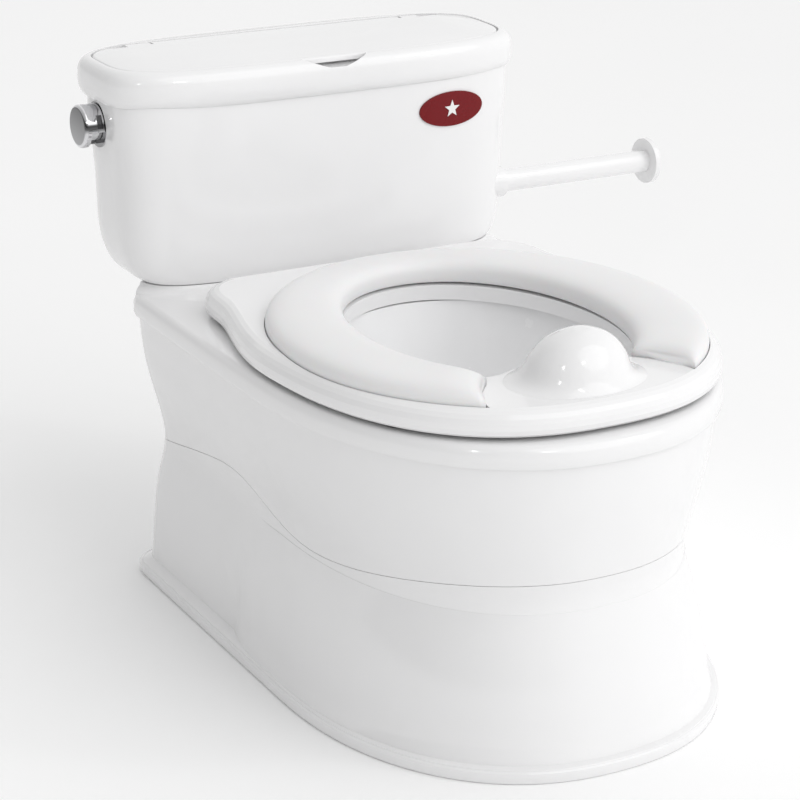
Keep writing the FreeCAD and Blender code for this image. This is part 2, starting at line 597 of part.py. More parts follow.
def make_seat():
    ring = loft([seat_outline(inset, SEAT_Z + rise) for inset, rise in RING_STEPS], ruled=True)
    opening = loft([oval(dim("opening_half") + 3.0, dim("opening_long") + 2.0, CUSHION_MID, SEAT_Z - 2.0),
                    oval(dim("opening_half") + 3.0, dim("opening_long") + 2.0, CUSHION_MID, SEAT_TOP + 40.0)],
                   ruled=True)
    front = block((-150.0, -330.0, 150.0), (150.0, OPENING_FRONT, 400.0))
    hollow = loft([seat_outline(4.5, SEAT_Z - 1.0), seat_outline(4.5, RECESS_Z - WALL)], ruled=True)
    hollow = hollow.cut(loft([oval(dim("opening_half") + 6.0, dim("opening_long") + 5.0, CUSHION_MID, SEAT_Z - 2.0),
                              oval(dim("opening_half") + 6.0, dim("opening_long") + 5.0, CUSHION_MID, SEAT_TOP)],
                             ruled=True))
    hollow = hollow.cut(block((-150.0, 24.0, 150.0), (150.0, 90.0, 400.0)))
    ring = ring.fuse(guard_skin(0.0)).cut(pad_outline(0.6, RECESS_Z, SEAT_TOP + 50.0))
    ring = ring.cut(opening.cut(front)).cut(hollow)
    ring = ring.cut(guard_skin(WALL).common(block((-90, -300, SEAT_Z + WALL), (90, OPENING_FRONT - WALL, 400))))
    for x in LUGS:
        notch = block((x - LUG_HALF - 0.6, HINGE.y - 5.7, SEAT_Z - 3.0), (x + LUG_HALF + 0.6, 90.0, HINGE.z))
        ring = ring.cut(notch).cut(rod(5.3, 2 * LUG_HALF + 1.2, Vector(x - LUG_HALF - 0.6, HINGE.y, HINGE.z), RIGHT))
        ring = ring.cut(block((x - LUG_HALF - 0.6, HINGE.y, HINGE.z - 1.0),
                              (x + LUG_HALF + 0.6, 90.0, HINGE.z + 5.3)))
        ring = ring.cut(rod(HINGE_RADIUS + 0.08, 34.0, Vector(x - 17.0, HINGE.y, HINGE.z), RIGHT))
    return ring


def make_cushion():
    """A plain horseshoe block for the soft pad; it is open over the splash guard."""
    long = 141.0
    levels = [(0.0, 0.2), (7.0, 0.2), (11.0, 3.6), (dim("cushion_high"), 11.0)]
    outer = loft([oval(dim("cushion_half") - inset, long - inset, CUSHION_MID + 1.5, RECESS_Z + rise, 2.05)
                  for rise, inset in levels])
    inner = loft([oval(dim("opening_half") + 0.5 + grow, dim("opening_long") + grow, CUSHION_MID,
                       RECESS_Z + rise - 1.0, 2.05)
                  for rise, grow in [(0.0, 0.0), (9.0, 0.0), (dim("cushion_high") + 3.0, 8.0)]])
    return outer.common(pad_outline(0.0, RECESS_Z - 1.0, SEAT_TOP + 30.0)).cut(inner)


BUMPERS = [(-118.0, -20.0), (118.0, -20.0), (-108.0, -185.0), (108.0, -185.0)]
feature("seat_ring", make_seat())
feature("seat_cushion", make_cushion())
feature("seat_bumpers", Part.makeCompound(
    [rod(5.0, RECESS_Z - WALL - DECK_Z - 0.4, Vector(x, y, DECK_Z + 0.4)) for x, y in BUMPERS]))
feature("seat_hinge_pins", Part.makeCompound(
    [rod(HINGE_RADIUS, 30.0, Vector(x - 15.0, HINGE.y, HINGE.z), RIGHT) for x in LUGS]))


# ---- flush handle, its spring and its switch -----------------------------------------------------

HANDLE_WALL = -TANK[0]
SHAFT = dim("shaft_radius")
RADIUS = dim("handle_radius")


def make_bezel():
    ring = rod(RADIUS + 0.8, 9.0, Vector(HANDLE_WALL - 2.6, HANDLE.y, HANDLE.z), RIGHT)
    boss = rod(SHAFT + 2.3, 14.0, Vector(HANDLE_WALL - 2.6, HANDLE.y, HANDLE.z), RIGHT)
    bore = rod(SHAFT + 0.08, 40.0, Vector(HANDLE_WALL - 20.0, HANDLE.y, HANDLE.z), RIGHT)
    return ring.fuse(boss).cut(bore)


def make_handle():
    """A thick round chrome knob with a step cut out of its lower front as the finger grip."""
    start = HANDLE_WALL - 3.0
    centre = Vector(start, HANDLE.y, HANDLE.z)
    core = rod(RADIUS - 0.3, 9.0, centre, RIGHT * -1)
    step = block((start - 9.0, HANDLE.y - 30.0, HANDLE.z - 30.0), (start + 1.0, HANDLE.y + 3.0, HANDLE.z - 2.0))
    core = core.cut(step).fuse(rod(RADIUS - 4.4, 9.0, centre, RIGHT * -1))
    pocket = block((start - 5.0, HANDLE.y - 20.0, HANDLE.z + 0.6), (start - 1.2, HANDLE.y - 8.6, HANDLE.z + 9.0))
    face = rod(RADIUS, 4.6, centre - RIGHT * 9.0, RIGHT * -1)
    outer = [edge for edge in face.Edges if abs(edge.BoundBox.XMax - (start - 13.6)) < 0.01]
    face = face.makeFillet(2.4, outer)
    shaft = rod(SHAFT, 26.0, centre - RIGHT * 2.0, RIGHT)
    return face.fuse([core.cut(pocket), shaft])


CRANK_X = HANDLE_WALL + 16.0


def make_crank():
    hub = rod(SHAFT + 2.5, 4.0, Vector(CRANK_X, HANDLE.y, HANDLE.z), RIGHT)
    long = dim("crank_long")
    arm = block((CRANK_X, HANDLE.y - long, HANDLE.z - 2.0), (CRANK_X + 4.0, HANDLE.y, HANDLE.z + 2.0))
    toe = rod(2.0, 4.0, Vector(CRANK_X, HANDLE.y - long, HANDLE.z), RIGHT)
    return hub.fuse([arm, toe]).cut(rod(SHAFT, 60.0, Vector(CRANK_X - 30.0, HANDLE.y, HANDLE.z), RIGHT))


SPRING_PITCH = 1.4
SPRING_TURNS = 2.0
SPRING_WIRE = 0.5


def make_spring():
    helix = Part.makeHelix(SPRING_PITCH, SPRING_TURNS * SPRING_PITCH, SHAFT + 1.6)
    start = Vector(SHAFT + 1.6, 0, 0)
    ring = Part.Wire([Part.Circle(start, BACK, SPRING_WIRE).toShape()])
    coil = Part.Wire([helix]).makePipeShell([ring], True, True)
    place = Placement(Vector(HANDLE_WALL + 12.3, HANDLE.y, HANDLE.z), turned(RIGHT))
    return coil.transformed(place.toMatrix(), True)


SWITCH_X = CRANK_X + 2.0
SWITCH_Y = HANDLE.y - dim("crank_long")
PLUNGER_TOP = HANDLE.z - 2.3
PLUNGER_RADIUS = 1.8
SWITCH_TOP = PLUNGER_TOP - 6.5


def make_switch():
    body = block((SWITCH_X - 6.0, SWITCH_Y - 8.0, SWITCH_TOP - 14.0), (SWITCH_X + 6.0, SWITCH_Y + 8.0, SWITCH_TOP))
    well = rod(PLUNGER_RADIUS + 0.08, 12.5, Vector(SWITCH_X, SWITCH_Y, SWITCH_TOP - 12.0))
    shelf = block((HANDLE_WALL - 4.0, SWITCH_Y - 8.0, SWITCH_TOP - 14.0), (SWITCH_X, SWITCH_Y + 8.0, SWITCH_TOP - 8.0))
    return body.fuse(shelf.common(tank_skin(WALL + 0.3, WALL))).cut(well)


feature("handle_bezel", make_bezel())
feature("flush_handle", make_handle())
feature("handle_crank", make_crank())
feature("return_spring", make_spring())
feature("switch_body", make_switch())
publish(cylinder("switch_plunger", f"{PLUNGER_RADIUS}", "11", Vector(SWITCH_X, SWITCH_Y, PLUNGER_TOP - 11.0)),
        "switch_plunger")


# ---- paper holder --------------------------------------------------------------------------------

ROD_START = HOLDER + RIGHT * 116.0


def make_holder():
    spindle = cylinder("holder_rod", "Dimensions.rod_radius", "Dimensions.rod_long", ROD_START, RIGHT)
    disc = cylinder("holder_disc", "Dimensions.disc_radius", "Dimensions.disc_thick",
                    ROD_START + RIGHT * (dim("rod_long") - 1.0), RIGHT)
    hollow = cylinder("holder_hollow", "Dimensions.rod_radius - 2", "Dimensions.rod_long - 8",
                      ROD_START - RIGHT, RIGHT)
    return cut("paper_holder_cut", fuse("holder_solid", [spindle, disc]), hollow)


def make_socket():
    start = HOLDER + RIGHT * 112.0
    tube = cylinder("socket_tube", "Dimensions.rod_radius + 3", "Dimensions.socket_long", start, RIGHT)
    collar = cylinder("socket_collar", "Dimensions.rod_radius + 6", "3", start, RIGHT)
    bore = cylinder("socket_bore", "Dimensions.rod_radius + 0.1", "Dimensions.socket_long + 4", start - RIGHT * 2.0, RIGHT)
    return cut("socket_cut", fuse("socket_solid", [tube, collar]), bore)


publish(make_holder(), "paper_holder")
publish(make_socket(), "holder_socket")


# ---- sound module: cells, door, board and speaker -------------------------------------------------

BAY_BACK = TANK_REAR - 1.6
DOOR_SCREW_AT = Vector(BATTERY.x, BAY_BACK + 1.6, BATTERY.z + BAY_HALF_Z + 0.8)


def make_battery_box():
    low = Vector(BATTERY.x - BAY_HALF_X + 0.3, BAY_BACK - BAY_DEEP, BATTERY.z - BAY_HALF_Z + 0.3)
    shell = box("bay_block", f"{2 * BAY_HALF_X - 0.6}", f"{BAY_DEEP}", f"{2 * BAY_HALF_Z - 0.6}", low)
    room = box("bay_room", f"{2 * BAY_HALF_X - 4.6}", f"{BAY_DEEP}", f"{2 * BAY_HALF_Z - 2.2}",
               low + Vector(2.0, 2.0, 0.8))
    return cut("battery_box_cut", shell, room)


def make_cells():
    cells = []
    radius = dim("cell_radius")
    for place in (-1, 0, 1):
        at = Vector(BATTERY.x + place * (2 * radius + 0.6), BAY_BACK - BAY_DEEP + 2.3 + radius,
                    BATTERY.z - dim("cell_long") / 2)
        cells.append(rod(radius, dim("cell_long") - 1.0, at).fuse(rod(2.6, 1.0, at + UP * (dim("cell_long") - 1.0))))
    return Part.makeCompound(cells)


def make_door():
    half_x = BAY_HALF_X + DOOR_MARGIN - 0.4
    half_z = BAY_HALF_Z + DOOR_MARGIN - 0.4
    plate = block((BATTERY.x - half_x, BAY_BACK, BATTERY.z - half_z), (BATTERY.x + half_x, BAY_BACK + 1.6, BATTERY.z + half_z))
    for row in range(4):
        z = BATTERY.z + half_z - 22.0 - 5.0 * row
        plate = plate.cut(block((BATTERY.x - 16.0, BAY_BACK + 1.0, z), (BATTERY.x + 16.0, BAY_BACK + 3.0, z + 2.0)))
    return plate.cut(rod(SHANK, 8.0, DOOR_SCREW_AT + BACK * 3.0, BACK * -1))


def make_board():
    board = block((BATTERY.x - 25.0, BAY_BACK - BAY_DEEP - 5.6, BATTERY.z - 20.0),
                  (BATTERY.x + 25.0, BAY_BACK - BAY_DEEP - 4.0, BATTERY.z + 20.0))
    chip = block((BATTERY.x - 8.0, BAY_BACK - BAY_DEEP - 7.4, BATTERY.z - 6.0),
                 (BATTERY.x + 8.0, BAY_BACK - BAY_DEEP - 5.6, BATTERY.z + 6.0))
    legs = [rod(2.0, 4.0, Vector(BATTERY.x + x, BAY_BACK - BAY_DEEP - 4.0, BATTERY.z + z), BACK)
            for x in (-20.0, 20.0) for z in (-15.0, 15.0)]
    return board.fuse([chip] + legs)


def make_speaker():
    inner_wall = TANK_REAR - WALL - 3.2
    at = Vector(SPEAKER.x, inner_wall, SPEAKER.z)
    frame = rod(SPEAKER_RADIUS, 3.0, at, BACK * -1)
    basket = Part.makeCone(SPEAKER_RADIUS - 2.0, 9.0, 8.0, at - BACK * 3.0, BACK * -1)
    magnet = rod(10.5, 6.0, at - BACK * 11.0, BACK * -1)
    return frame.fuse([basket, magnet])


publish(make_battery_box(), "battery_box")
feature("battery_cells", make_cells())
feature("battery_door", make_door())
feature("door_screw", screw(DOOR_SCREW_AT, BACK * -1, 1.6, 1.2))
feature("sound_board", make_board())
feature("speaker", make_speaker())


# ---- badge ---------------------------------------------------------------------------------------

BADGE = Vector(90.0, TANK[2] - TANK[1], 311.0)


def make_badge():
    """A plain oval plate that follows the tank's bowed front."""
    outline = Part.Ellipse(Vector(0, 0, 0), dim("badge_half"), dim("badge_high"))
    plate = Part.Face(Part.Wire([outline.toShape()])).extrude(Vector(0, 0, 40))
    plate.Placement = Placement(BADGE - BACK * 20.0, Rotation(RIGHT, -90))
    return plate.common(tank_skin(-1.0)).cut(tank_skin(0.0))


feature("badge", make_badge())

doc.recompute()
for obj in doc.Objects:
    if "Invalid" in obj.State or "Error" in obj.State:
        raise RuntimeError(f"{obj.Name} did not compute")
os.makedirs("parts", exist_ok=True)
for node in nodes:
    if node.Shape.isNull() or not node.Shape.isValid() or not node.Shape.Solids:
        raise RuntimeError(f"{node.Label} has no valid solid")
    node.Shape.exportStep(f"parts/{node.Label}.step")
    print(node.Label, len(node.Shape.Solids), round(node.Shape.Volume / 1000.0, 2))
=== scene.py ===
"""Looks of the potty training chair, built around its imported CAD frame. Metres, +Z up, -Y the front."""
import json
import math

import bmesh
import bpy
from mathutils import Matrix, Vector
from mathutils.bvhtree import BVHTree


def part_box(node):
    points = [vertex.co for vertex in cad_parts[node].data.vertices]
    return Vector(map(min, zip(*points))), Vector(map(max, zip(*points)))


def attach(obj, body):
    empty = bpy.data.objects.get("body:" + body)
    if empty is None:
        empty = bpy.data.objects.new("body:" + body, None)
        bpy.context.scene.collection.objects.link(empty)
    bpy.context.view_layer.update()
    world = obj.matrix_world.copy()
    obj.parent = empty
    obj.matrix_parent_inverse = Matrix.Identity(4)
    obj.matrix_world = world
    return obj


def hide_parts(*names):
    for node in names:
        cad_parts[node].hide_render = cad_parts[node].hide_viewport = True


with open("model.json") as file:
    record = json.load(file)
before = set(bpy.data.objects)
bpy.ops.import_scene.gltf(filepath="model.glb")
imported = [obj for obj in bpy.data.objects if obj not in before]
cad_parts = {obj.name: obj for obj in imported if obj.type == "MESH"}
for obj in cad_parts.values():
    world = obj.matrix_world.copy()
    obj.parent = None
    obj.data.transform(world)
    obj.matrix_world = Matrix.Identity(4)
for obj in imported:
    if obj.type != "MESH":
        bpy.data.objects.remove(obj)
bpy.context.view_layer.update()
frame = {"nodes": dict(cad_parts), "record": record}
record = frame["record"]
slot_of = {part["node"]: part["material_slot"] for part in record["subparts"]}
body_of = {node: body for body, members in record["behaviour"]["bodies"].items()
           for node in members}


# ---- materials -----------------------------------------------------------------------------------

# The stretch of a noise texture's range that nearly all of its values lie in.
NOISE_LOW, NOISE_HIGH = 0.3, 0.7
# How much finer than its colour a material's roughness varies.
ROUGH_FINER = 6.0


def noise(tree, place, scale, detail=3.0):
    """Noise in the object's own space, with about as many features to the metre as the scale says."""
    node = tree.nodes.new("ShaderNodeTexNoise")
    node.inputs["Scale"].default_value = scale
    node.inputs["Detail"].default_value = detail
    tree.links.new(place.outputs["Object"], node.inputs["Vector"])
    return node


def spread(tree, source, low, high):
    """A noise node's value, stretched to run from low to high."""
    node = tree.nodes.new("ShaderNodeMapRange")
    node.inputs["From Min"].default_value = NOISE_LOW
    node.inputs["From Max"].default_value = NOISE_HIGH
    node.inputs["To Min"].default_value = low
    node.inputs["To Max"].default_value = high
    tree.links.new(source.outputs["Fac"], node.inputs["Value"])
    return node


def plastic(name, colour, rough=(0.14, 0.2), tint=0.012, broad=9.0, fine=900.0, relief=0.02,
            relief_depth=0.00004, metallic=0.0, **sockets):
    """A Principled material whose colour, roughness and fine relief come from object-space noise."""
    material = bpy.data.materials.new(name)
    material.use_nodes = True
    tree = material.node_tree
    bsdf = tree.nodes["Principled BSDF"]
    place = tree.nodes.new("ShaderNodeTexCoord")
    for socket, number in sockets.items():
        bsdf.inputs[socket].default_value = number
    bsdf.inputs["Metallic"].default_value = metallic
    ramp = tree.nodes.new("ShaderNodeValToRGB")
    ramp.color_ramp.elements[0].color = [max(0.0, c - tint) for c in colour] + [1.0]
    ramp.color_ramp.elements[1].color = [min(1.0, c + tint) for c in colour] + [1.0]
    ramp.color_ramp.elements[0].position = NOISE_LOW
    ramp.color_ramp.elements[1].position = NOISE_HIGH
    tree.links.new(noise(tree, place, broad).outputs["Fac"], ramp.inputs["Fac"])
    tree.links.new(ramp.outputs["Color"], bsdf.inputs["Base Color"])
    tree.links.new(spread(tree, noise(tree, place, broad * ROUGH_FINER), *rough).outputs["Result"],
                   bsdf.inputs["Roughness"])
    bump = tree.nodes.new("ShaderNodeBump")
    bump.inputs["Strength"].default_value = relief
    bump.inputs["Distance"].default_value = relief_depth
    tree.links.new(noise(tree, place, fine, 2.0).outputs["Fac"], bump.inputs["Height"])
    tree.links.new(bump.outputs["Normal"], bsdf.inputs["Normal"])
    return material


materials = {
    "white_shell": plastic("white_gloss", (0.86, 0.858, 0.862), (0.1, 0.15),
                           **{"Coat Weight": 0.5, "Coat Roughness": 0.03, "IOR": 1.5}),
    "seat_white": plastic("seat_gloss", (0.87, 0.868, 0.872), (0.1, 0.14),
                          **{"Coat Weight": 0.4, "Coat Roughness": 0.05, "IOR": 1.5}),
    "pad_white": plastic("pad_soft", (0.835, 0.832, 0.835), (0.34, 0.42),
                         fine=2600.0, relief=0.12, relief_depth=0.0001,
                         **{"Sheen Weight": 0.15, "Subsurface Weight": 0.08,
                            "Subsurface Scale": 0.004}),
    "pot_white": plastic("pot_gloss", (0.93, 0.93, 0.935), (0.2, 0.28), **{"Coat Weight": 0.2}),
    "chrome_trim": plastic("chrome", (0.5, 0.5, 0.515), (0.05, 0.1), 0.03,
                           broad=120.0, metallic=1.0, relief=0.01),
    "steel": plastic("steel", (0.55, 0.55, 0.57), (0.28, 0.4), 0.03, broad=60.0, metallic=1.0),
    "grey_rubber": plastic("rubber", (0.09, 0.09, 0.095), (0.6, 0.75), fine=1500.0, relief=0.2),
    "grey_plastic": plastic("grey_plastic", (0.5, 0.5, 0.51), (0.4, 0.5), fine=1200.0, relief=0.2),
    "badge_red": plastic("badge_red", (0.17, 0.001, 0.005), (0.22, 0.3), 0.004,
                         **{"Specular IOR Level": 0.25}),
    "board_green": plastic("board_green", (0.02, 0.14, 0.05), (0.4, 0.5), broad=40.0),
    "cell_wrap": plastic("cell_wrap", (0.03, 0.03, 0.035), (0.3, 0.4), 0.01, broad=30.0),
    "black_plastic": plastic("black_plastic", (0.02, 0.02, 0.022), (0.4, 0.5), 0.006, fine=1500.0),
}
# Grey levels of the chrome's painted reflection: the dark horizon band, the bright surroundings, and
# facing down; then its blue tint.
PAINTED_REFLECTION_DARK, PAINTED_REFLECTION_BRIGHT, PAINTED_REFLECTION_UNDER = 0.06, 0.8, 0.35
PAINTED_REFLECTION_BLUE = 1.02


def paint_reflection_bands(material):
    """Paint reflection bands into a metal's colour: its colour goes by how far the surface faces up or
    down, and is dark just above level, a painted reflection of a dark horizon, and bright on both sides
    of that."""
    tree = material.node_tree
    place = tree.nodes.new("ShaderNodeTexCoord")
    axes = tree.nodes.new("ShaderNodeSeparateXYZ")
    share = tree.nodes.new("ShaderNodeMapRange")
    ramp = tree.nodes.new("ShaderNodeValToRGB")
    share.inputs["From Min"].default_value = -1.0
    share.inputs["From Max"].default_value = 1.0
    # From 0, facing straight down, to 1, facing straight up, with the painted reflection's level of grey
    # there.
    stops = [(0.0, PAINTED_REFLECTION_UNDER), (0.25, PAINTED_REFLECTION_BRIGHT), (0.44, PAINTED_REFLECTION_BRIGHT * 0.8),
             (0.52, PAINTED_REFLECTION_DARK * 2.0), (0.6, PAINTED_REFLECTION_DARK), (0.68, PAINTED_REFLECTION_BRIGHT),
             (1.0, PAINTED_REFLECTION_BRIGHT)]
    ramp.color_ramp.elements[0].position = stops[0][0]
    ramp.color_ramp.elements[1].position = stops[-1][0]
    for position, _ in stops[1:-1]:
        ramp.color_ramp.elements.new(position)
    for element, (_, level) in zip(ramp.color_ramp.elements, stops):
        element.color = (level, level, level * PAINTED_REFLECTION_BLUE, 1.0)
    tree.links.new(place.outputs["Normal"], axes.inputs["Vector"])
    tree.links.new(axes.outputs["Z"], share.inputs["Value"])
    tree.links.new(share.outputs["Result"], ramp.inputs["Fac"])
    tree.links.new(ramp.outputs["Color"], tree.nodes["Principled BSDF"].inputs["Base Color"])


# The chrome's base colour becomes painted reflection bands, not its own colour.
paint_reflection_bands(materials["chrome_trim"])
mark_white = plastic("mark_white", (0.85, 0.85, 0.84), (0.25, 0.35))


def dress(obj, slot):
    """Give every material slot of an object the finish of one of the record's slots."""
    if not obj.data.materials:
        obj.data.materials.append(materials[slot])
    for index in range(len(obj.data.materials)):
        obj.data.materials[index] = materials[slot]


def add_object(name, mesh, body, slot):
    """A new piece that rides on a body and takes the finish of one of the record's slots."""
    obj = bpy.data.objects.new(name, mesh)
    bpy.context.scene.collection.objects.link(obj)
    dress(obj, slot)
    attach(obj, body)
    return obj


# ---- moulded parts: the CAD meshes welded into one smooth skin each ------------------------------

# Points closer than this are one point, and edges sharper than this stay creases.
WELD = 0.00001
SHARP = math.radians(38.0)


def shape_of(mesh):
    """A mesh's points, no loose edges, and its faces, as from_pydata takes them."""
    points = [vertex.co[:] for vertex in mesh.vertices]
    return points, [], [tuple(polygon.vertices) for polygon in mesh.polygons]


def moulded(node):
    """A welded copy of a CAD node, shaded smooth across its rounded edges."""
    source = frame["nodes"][node].data
    mesh = bpy.data.meshes.new(node + "_skin")
    mesh.from_pydata(*shape_of(source))
    work = bmesh.new()
    work.from_mesh(mesh)
    bmesh.ops.remove_doubles(work, verts=work.verts, dist=WELD)
    bmesh.ops.dissolve_degenerate(work, edges=work.edges, dist=WELD)
    work.to_mesh(mesh)
    work.free()
    for polygon in mesh.polygons:
        polygon.use_smooth = True
    mesh.set_sharp_from_angle(angle=SHARP)
    piece = add_object(node + "_skin", mesh, body_of[node], slot_of[node])
    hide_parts(node)


for node in ("base_shell", "body_shell", "tank_shell", "lid_frame", "lid_flap", "pot", "wipe_tray",
             "paper_holder", "holder_socket", "handle_bezel", "flush_handle", "battery_door"):
    moulded(node)


# ---- helpers for meshes made from points ---------------------------------------------------------

def closed_mesh(name, points, faces):
    """A mesh of a closed form, with every face turned outwards."""
    mesh = bpy.data.meshes.new(name)
    mesh.from_pydata(points, [], faces)
    work = bmesh.new()
    work.from_mesh(mesh)
    bmesh.ops.recalc_face_normals(work, faces=work.faces)
    work.to_mesh(mesh)
    work.free()
    return mesh


def lofted(name, rings):
    """A smooth form through rings of equally many points, capped at its first and last ring."""
    count = len(rings[0])
    points = [point for ring in rings for point in ring]
    faces = []
    for r in range(len(rings) - 1):
        low = r * count
        high = (r + 1) * count
        for i in range(count):
            j = (i + 1) % count
            faces.append((low + i, low + j, high + j, high + i))
    faces.append(tuple(reversed(range(count))))
    faces.append(tuple((len(rings) - 1) * count + i for i in range(count)))
    mesh = closed_mesh(name, points, faces)
    for polygon in mesh.polygons:
        polygon.use_smooth = True
    return mesh


def superellipse_radius(half_x, half_y, power, angle):
    """How far a superellipse is from its centre at an angle from the +X axis."""
    c = abs(math.cos(angle)) / half_x
    s = abs(math.sin(angle)) / half_y
    return (c ** power + s ** power) ** (-1.0 / power)


# ---- seat pad: a crowned horseshoe of soft foam --------------------------------------------------

pad_low, pad_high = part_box("seat_cushion")
PAD_FLOOR = pad_low[2]
PAD_HALF = (pad_high[0] - pad_low[0]) / 2.0
PAD_MIDDLE = -0.1075
PAD_REACH = pad_high[1] - PAD_MIDDLE
PAD_INNER = (0.0815, 0.1075)
PAD_POWER = 2.05
# The oval around the splash guard that the pad's two ends stop at, and how far off it they stay.
MOUTH_MIDDLE = -0.236
MOUTH_HALF = (0.072, 0.060)
MOUTH_GAP = math.radians(0.5)
MOUTH_FROM, MOUTH_TO, MOUTH_STEP = math.radians(-30.0), math.radians(-90.0), math.radians(0.1)
# Cross-sections along the horseshoe, how many of them round off each end, and points to each.
PAD_STEPS = 168
PAD_ROUND = 6.0
PAD_SIDES = 40
# Heights above the pad's floor, of its widest line, its crown and its underside, and the share of
# the crown's height that is left at the very ends.
PAD_EDGE = 0.0075
PAD_CROWN = 0.0168
PAD_LIFT = 0.0004
PAD_END = 0.35
# How a cross-section curves: across it, over its crown and under its edge.
ACROSS_POWER, CROWN_POWER, UNDER_POWER = 0.55, 0.85, 0.3


def mouth_meets(reach_x, reach_y):
    """The angle, from the +X axis, at which an oval of the pad runs into the mouth."""
    angle = MOUTH_FROM
    while angle > MOUTH_TO:
        radius = superellipse_radius(reach_x, reach_y, PAD_POWER, angle)
        x = radius * math.cos(angle) / MOUTH_HALF[0]
        y = (PAD_MIDDLE + radius * math.sin(angle) - MOUTH_MIDDLE) / MOUTH_HALF[1]
        if x * x + y * y < 1.0:
            return angle
        angle -= MOUTH_STEP
    return angle


def pad_sides():
    """For each point of a cross-section: how far up it is, from -1 to 1, its oval's reaches along X
    and Y, and the angle that the oval starts at."""
    sides = []
    for place in range(PAD_SIDES):
        turn = 2.0 * math.pi * place / PAD_SIDES
        c, s = math.cos(turn), math.sin(turn)
        blend = 0.5 + 0.5 * math.copysign(abs(c) ** ACROSS_POWER, c)
        reach_x = PAD_INNER[0] + (PAD_HALF - PAD_INNER[0]) * blend
        reach_y = PAD_INNER[1] + (PAD_REACH - PAD_INNER[1]) * blend
        sides.append((s, reach_x, reach_y, mouth_meets(reach_x, reach_y) + MOUTH_GAP))
    return sides


def pad_mesh():
    """Cross-sections across the horseshoe from one end to the other; both ends follow the mouth."""
    sides = pad_sides()
    rings = []
    for step in range(PAD_STEPS + 1):
        share = step / PAD_STEPS
        end = min(share, 1.0 - share) * PAD_STEPS / PAD_ROUND
        swell = math.sqrt(max(0.0, 1.0 - (1.0 - min(1.0, end)) ** 2))
        crown = (PAD_CROWN - PAD_EDGE) * (PAD_END + (1.0 - PAD_END) * swell)
        ring = []
        for s, reach_x, reach_y, start in sides:
            angle = start + (math.pi - 2.0 * start) * share
            radius = superellipse_radius(reach_x, reach_y, PAD_POWER, angle)
            if s >= 0.0:
                up = PAD_EDGE + crown * abs(s) ** CROWN_POWER
            else:
                up = PAD_EDGE * (1.0 - abs(s) ** UNDER_POWER) + PAD_LIFT
            ring.append((radius * math.cos(angle), PAD_MIDDLE + radius * math.sin(angle),
                         PAD_FLOOR + up))
        rings.append(ring)
    return lofted("seat_pad", rings)


# The foam's cloth run: its frames, the height below which it is glued down, and its most travel.
PLUMP_FRAMES = 20
PLUMP_GLUED = PAD_EDGE * 0.9
PLUMP_TRAVEL = 0.0012


def plump(obj):
    """Foam swelling inside its cover: a short cloth run under pressure, with the travel kept small."""
    before = [v.co.copy() for v in obj.data.vertices]
    cloth = obj.modifiers.new("plump", "CLOTH")
    cloth.settings.quality = 5
    cloth.settings.mass = 0.3
    cloth.settings.tension_stiffness = 40.0
    cloth.settings.compression_stiffness = 40.0
    cloth.settings.bending_stiffness = 6.0
    cloth.settings.use_pressure = True
    cloth.settings.uniform_pressure_force = 4.0
    cloth.settings.effector_weights.gravity = 0.0
    pins = obj.vertex_groups.new(name="glued")
    for index, place in enumerate(before):
        pins.add([index], 1.0 if place.z - PAD_FLOOR < PLUMP_GLUED else 0.0, "REPLACE")
    cloth.settings.vertex_group_mass = "glued"
    cloth.point_cache.frame_start = 1
    cloth.point_cache.frame_end = PLUMP_FRAMES
    for number in range(1, PLUMP_FRAMES + 1):
        bpy.context.scene.frame_set(number)
    shaped = obj.evaluated_get(bpy.context.evaluated_depsgraph_get())
    after = [v.co.copy() for v in shaped.data.vertices]
    obj.modifiers.clear()
    bpy.context.scene.frame_set(1)
    for vertex, old, new in zip(obj.data.vertices, before, after):
        travel = new - old
        if travel.length > PLUMP_TRAVEL:
            travel *= PLUMP_TRAVEL / travel.length
        vertex.co = old + travel
    obj.data.update()


pad = add_object("seat_pad", pad_mesh(), "seat", "pad_white")
plump(pad)
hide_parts("seat_cushion")


# ---- badge: a small raised star on the plain oval ------------------------------------------------

badge_low, badge_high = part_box("badge")
BADGE_AT = ((badge_low[0] + badge_high[0]) / 2.0, (badge_low[2] + badge_high[2]) / 2.0)
STAR_POINTS = 5
STAR_CORNERS = 2 * STAR_POINTS
STAR_RADIUS = 0.0062
STAR_WAIST = STAR_RADIUS * 0.42
STAR_DEPTH = 0.0004
STAR_SUNK = 0.0001


def star_mesh():
    """A star that follows the badge's curved face, from a little inside it to a little in front."""
    points, _, faces = shape_of(frame["nodes"]["badge"].data)
    face = BVHTree.FromPolygons(points, faces)
    points = []
    for lift in (-STAR_SUNK, STAR_DEPTH):
        for corner in range(STAR_CORNERS):
            reach = STAR_RADIUS if corner % 2 == 0 else STAR_WAIST
            angle = math.pi / 2.0 + corner * math.pi / STAR_POINTS
            x = BADGE_AT[0] + reach * math.cos(angle)
            z = BADGE_AT[1] + reach * math.sin(angle)
            hit = face.ray_cast(Vector((x, -1.0, z)), Vector((0.0, 1.0, 0.0)))[0]
            points.append((x, hit.y - lift, z))
    back, front = range(STAR_CORNERS), range(STAR_CORNERS, 2 * STAR_CORNERS)
    faces = [(i, (i + 1) % STAR_CORNERS, front[(i + 1) % STAR_CORNERS], front[i]) for i in back]
    faces += [tuple(reversed(back)), tuple(front)]
    return closed_mesh("badge_star", points, faces)


star = add_object("badge_star", star_mesh(), "chair", "white_shell")
star.data.materials[0] = mark_white

# ---- every CAD node that still shows -------------------------------------------------------------

for node, obj in frame["nodes"].items():
    dress(obj, slot_of[node])


# ---- floor, light and camera ---------------------------------------------------------------------

FLOOR_HALF = 12.0
FLOOR_DROP = 0.0002


